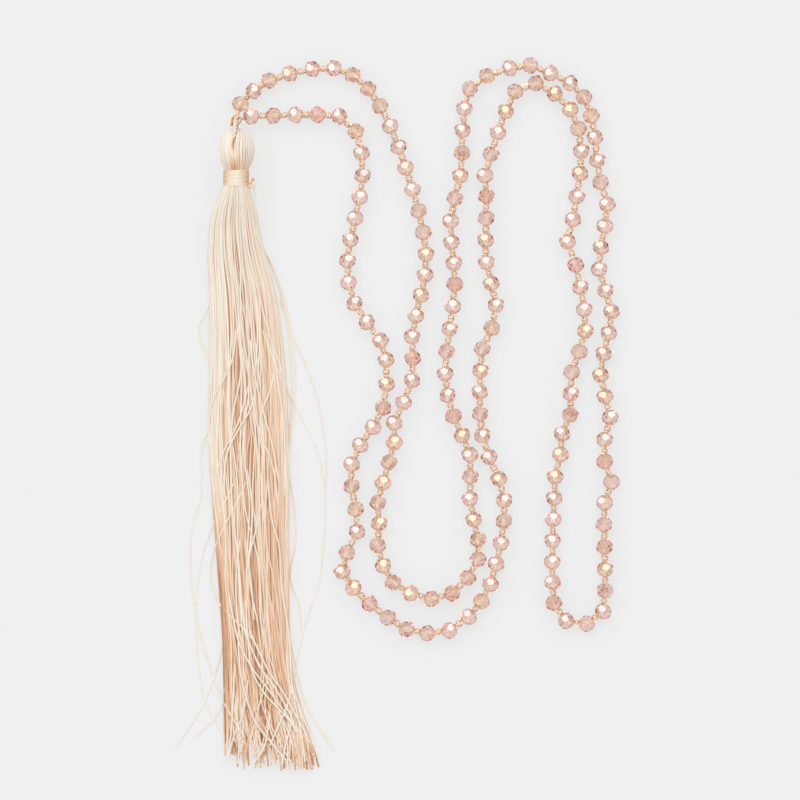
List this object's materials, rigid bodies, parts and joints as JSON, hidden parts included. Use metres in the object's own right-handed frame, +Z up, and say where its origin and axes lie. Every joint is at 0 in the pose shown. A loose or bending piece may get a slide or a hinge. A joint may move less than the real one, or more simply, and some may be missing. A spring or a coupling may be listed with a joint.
{
  "type": "long knotted bead necklace with a thread tassel",
  "caption": "Long loop of faceted rose glass beads knotted one by one on peach thread, ending in a cream thread tassel with a bound head, laid flat in soft curves.",
  "frame": {"origin": "middle of the laid-out necklace, on the surface it lies on", "axes": "+X to the right, +Y along the tassel from its cut ends towards its head, +Z up from the surface"},
  "size_m": [0.15, 0.2577, 0.0127],
  "materials": {
    "crystal": "clear faceted glass with a rainbow coating",
    "bead_thread": "twisted peach thread",
    "loop_cord": "twisted cream cord",
    "tassel_thread": "twisted cream thread with a soft sheen"
  },
  "bodies": {
    "root": {"bead_strand_01": "crystal", "bead_strand_02": "crystal", "bead_strand_03": "crystal", "bead_strand_04": "crystal", "bead_strand_05": "crystal", "bead_strand_06": "crystal", "bead_strand_07": "crystal", "bead_strand_08": "crystal", "bead_strand_09": "crystal", "bead_strand_10": "crystal", "bead_strand_11": "crystal", "bead_strand_12": "crystal", "bead_strand_13": "crystal", "bead_strand_14": "crystal", "bead_strand_15": "crystal", "bead_strand_16": "crystal", "joining_knot": "bead_thread", "hanging_loop": "loop_cord", "tassel_head": "tassel_thread", "tassel_binding": "tassel_thread", "binding_knot": "tassel_thread", "tassel_skirt": "tassel_thread"}
  },
  "joints": []
}
